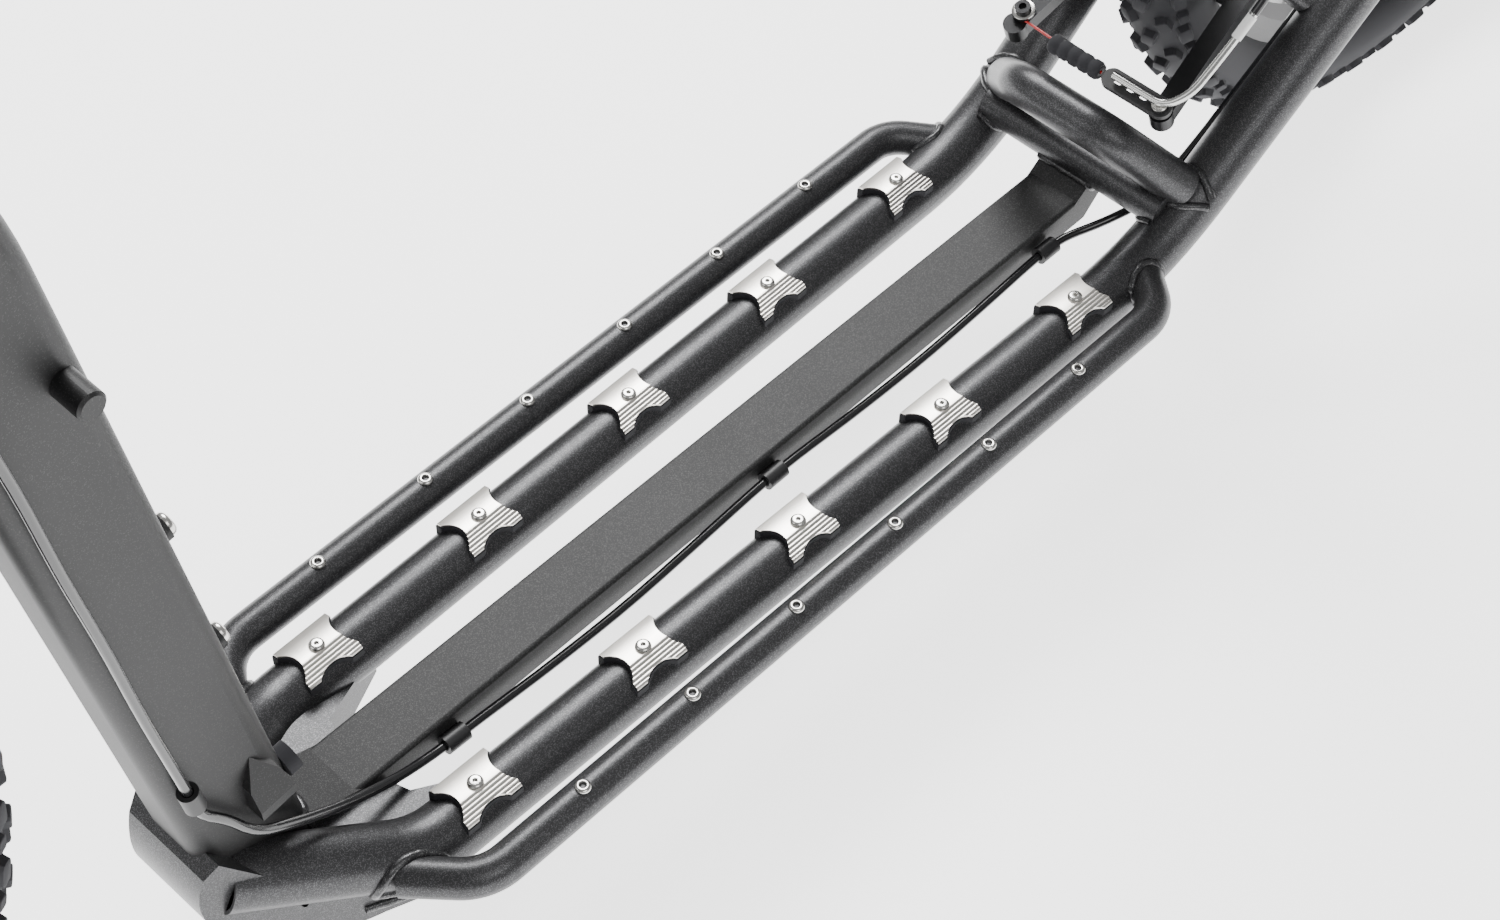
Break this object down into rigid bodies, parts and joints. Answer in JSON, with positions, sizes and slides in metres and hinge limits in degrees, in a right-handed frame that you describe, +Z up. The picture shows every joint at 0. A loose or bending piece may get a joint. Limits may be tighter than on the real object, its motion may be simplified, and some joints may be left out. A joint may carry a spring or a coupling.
{
  "type": "cargo bicycle",
  "caption": "Low-deck cargo kick bicycle with a two-tube deck, tread plates, side rails, leaning mast, rim brakes, spoked wheels and two folding stand legs.",
  "frame": {"origin": "on the ground, on the centre plane, midway between the axles", "axes": "+X forwards, +Y to the rider's left, +Z up"},
  "size_m": [2.0869, 0.6526, 1.0124],
  "materials": {
    "frame_paint": "fine metallic satin powder coat, gunmetal grey",
    "mast_paint": "smooth satin anthracite",
    "beam_paint": "matte speckled grey",
    "plate_silver": "brushed warm silver",
    "stainless": "turned stainless steel",
    "black_rubber": "matt black rubber",
    "tyre_rubber": "black tyre rubber",
    "black_alloy": "black anodised aluminium",
    "fork_paint": "satin black paint",
    "housing_black": "glossy black cable housing",
    "clip_black": "black nylon",
    "wire_red": "red coated inner wire",
    "noodle_silver": "bright bent tube"
  },
  "bodies": {
    "frame": {"head_tube": "frame_paint", "mast": "mast_paint", "mast_foot": "frame_paint", "main_tube_left": "frame_paint", "main_tube_right": "frame_paint", "side_rail_left": "frame_paint", "side_rail_right": "frame_paint", "centre_beam": "beam_paint", "rear_bridge_tubes": "frame_paint", "rear_dropouts": "frame_paint", "tread_plates": "plate_silver", "tread_pads": "black_rubber", "tread_screws": "stainless", "rail_rivet_nuts": "stainless", "mast_boss_screws": "stainless", "cable_port_plug": "black_rubber", "cable_clips": "clip_black", "rear_brake_housing": "housing_black", "headset": "black_alloy", "rear_brake_mounts": "frame_paint", "stand_studs": "frame_paint", "rear_axle": "stainless", "rear_skewer": "black_alloy", "rear_brake_housing_tail": "housing_black", "rear_brake_loop": "housing_black"},
    "steering": {"fork": "fork_paint", "stem": "black_alloy", "handlebar": "black_alloy", "grips": "black_rubber", "brake_perch_left": "black_alloy", "brake_perch_right": "black_alloy", "front_brake_mounts": "fork_paint", "front_axle": "stainless", "front_skewer": "black_alloy", "front_brake_housing": "housing_black"},
    "brake_lever_left": {"brake_lever_left": "black_alloy"},
    "brake_lever_right": {"brake_lever_right": "black_alloy"},
    "rear_skewer_lever": {"rear_skewer_lever": "black_alloy"},
    "front_skewer_lever": {"front_skewer_lever": "black_alloy"},
    "stand_leg_left": {"stand_leg_left": "fork_paint"},
    "stand_leg_right": {"stand_leg_right": "fork_paint"},
    "front_wheel": {"front_tyre": "tyre_rubber", "front_rim": "black_alloy", "front_hub_shell": "black_alloy", "front_spokes": "stainless"},
    "front_brake_left": {"front_brake_arm_left": "black_alloy", "front_brake_link": "clip_black", "front_brake_noodle": "noodle_silver", "front_brake_wire": "wire_red"},
    "front_brake_right": {"front_brake_arm_right": "black_alloy"},
    "rear_wheel": {"rear_tyre": "tyre_rubber", "rear_rim": "black_alloy", "rear_hub_shell": "black_alloy", "rear_spokes": "stainless"},
    "rear_brake_left": {"rear_brake_arm_left": "black_alloy", "rear_brake_link": "clip_black", "rear_brake_noodle": "noodle_silver", "rear_brake_wire": "wire_red"},
    "rear_brake_right": {"rear_brake_arm_right": "black_alloy"}
  },
  "joints": [
    {"name": "steering", "type": "hinge", "parent": "frame", "child": "steering", "pos_m": [0.53147, 0, 0.70901], "axis": [-0.3256, 0, 0.9455], "range_deg": [-75, 75], "deforming": ["rear_brake_loop"]},
    {"name": "front_wheel_spin", "type": "hinge", "parent": "steering", "child": "front_wheel", "pos_m": [0.7075, 0, 0.336], "axis": [0, 1, 0], "continuous": true},
    {"name": "rear_wheel_spin", "type": "hinge", "parent": "frame", "child": "rear_wheel", "pos_m": [-0.7075, 0, 0.336], "axis": [0, 1, 0], "continuous": true},
    {"name": "brake_lever_left_pull", "type": "hinge", "parent": "steering", "child": "brake_lever_left", "pos_m": [0.55467, 0.176, 0.97915], "axis": [0.3401, 0, 0.9404], "range_deg": [0, 14], "stiffness_Nm_per_rad": 1.2, "springref_deg": -20.05},
    {"name": "brake_lever_right_pull", "type": "hinge", "parent": "steering", "child": "brake_lever_right", "pos_m": [0.55467, -0.176, 0.97915], "axis": [0.3401, 0, 0.9404], "range_deg": [-14, 0], "stiffness_Nm_per_rad": 1.2, "springref_deg": 20.05},
    {"name": "stand_left_fold", "type": "hinge", "parent": "frame", "child": "stand_leg_left", "pos_m": [-0.677, 0.082, 0.319], "axis": [0, 1, 0], "range_deg": [0, 90]},
    {"name": "stand_right_fold", "type": "hinge", "parent": "frame", "child": "stand_leg_right", "pos_m": [-0.677, -0.082, 0.319], "axis": [0, 1, 0], "range_deg": [0, 90]},
    {"name": "rear_skewer_release", "type": "hinge", "parent": "frame", "child": "rear_skewer_lever", "pos_m": [-0.7075, 0.08552, 0.336], "axis": [1, 0, 0], "range_deg": [-170, 0]},
    {"name": "front_skewer_release", "type": "hinge", "parent": "steering", "child": "front_skewer_lever", "pos_m": [0.7075, 0.06802, 0.336], "axis": [1, 0, 0], "range_deg": [-170, 0]},
    {"name": "rear_brake_left_swing", "type": "hinge", "parent": "frame", "child": "rear_brake_left", "pos_m": [-0.47016, 0.04, 0.23229], "axis": [0.3584, 0, 0.9336], "range_deg": [-4, 0], "deforming": ["rear_brake_housing_tail"]},
    {"name": "rear_brake_right_swing", "type": "hinge", "parent": "frame", "child": "rear_brake_right", "pos_m": [-0.47016, -0.04, 0.23229], "axis": [0.3584, 0, 0.9336], "range_deg": [0, 4], "deforming": ["rear_brake_wire"]},
    {"name": "front_brake_left_swing", "type": "hinge", "parent": "steering", "child": "front_brake_left", "pos_m": [0.62315, 0.04, 0.58061], "axis": [0.9012, 0, 0.4334], "range_deg": [0, 4], "deforming": ["front_brake_housing"]},
    {"name": "front_brake_right_swing", "type": "hinge", "parent": "steering", "child": "front_brake_right", "pos_m": [0.62315, -0.04, 0.58061], "axis": [0.9012, 0, 0.4334], "range_deg": [-4, 0], "deforming": ["front_brake_wire"]}
  ],
  "couplings": [
    {"joint": "front_brake_left_swing", "follows": "brake_lever_left_pull", "ratio": 0.28},
    {"joint": "front_brake_right_swing", "follows": "brake_lever_left_pull", "ratio": -0.28},
    {"joint": "rear_brake_left_swing", "follows": "brake_lever_right_pull", "ratio": 0.28},
    {"joint": "rear_brake_right_swing", "follows": "brake_lever_right_pull", "ratio": -0.28}
  ]
}
